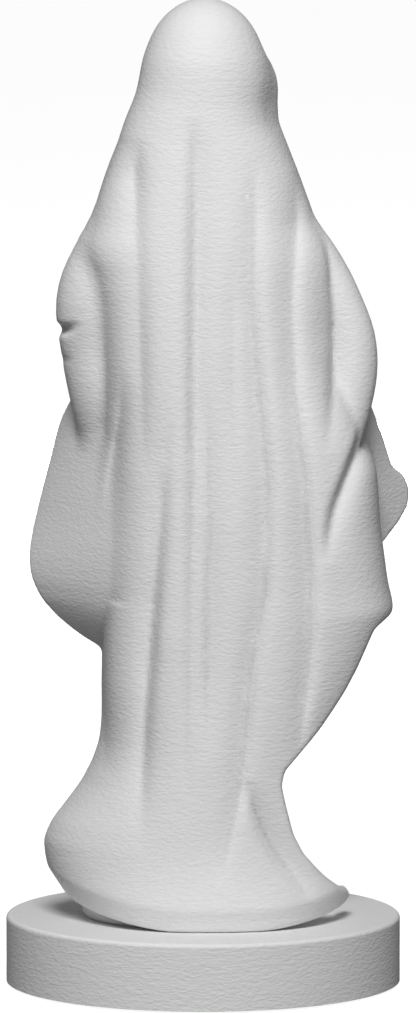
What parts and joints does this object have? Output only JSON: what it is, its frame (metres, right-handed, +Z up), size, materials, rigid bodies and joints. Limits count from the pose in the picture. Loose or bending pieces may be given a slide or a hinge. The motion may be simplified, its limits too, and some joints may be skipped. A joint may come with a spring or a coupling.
{
  "type": "madonna statue",
  "caption": "Standing veiled madonna figure with joined hands, on a round disc base, for a shelf or niche.",
  "frame": {"origin": "centre of the resting face, the underside of the felt pad, under the middle of the round base", "axes": "+Z up along the figure, -Y the way the figure faces, +X the figure's own left"},
  "size_m": [0.0816, 0.08, 0.2],
  "materials": {
    "figure": "matte off-white with fine horizontal layer texture",
    "base": "matte off-white, smoother on top",
    "felt": "pressed felt",
    "screw_steel": "plain steel",
    "insert_brass": "turned brass",
    "dowel_wood": "bare hardwood dowel"
  },
  "bodies": {
    "root": {"base_disc": "base", "felt_pad": "felt", "fixing_screw": "screw_steel", "screw_washer": "screw_steel", "threaded_insert": "insert_brass", "locating_pins": "dowel_wood", "tunic": "figure", "sash": "figure", "left_foot": "figure", "right_foot": "figure", "mantle": "figure", "mantle_pins": "dowel_wood", "head": "figure", "left_sleeve": "figure", "right_sleeve": "figure", "arm_pins": "dowel_wood", "left_hand": "figure", "right_hand": "figure"}
  },
  "joints": []
}
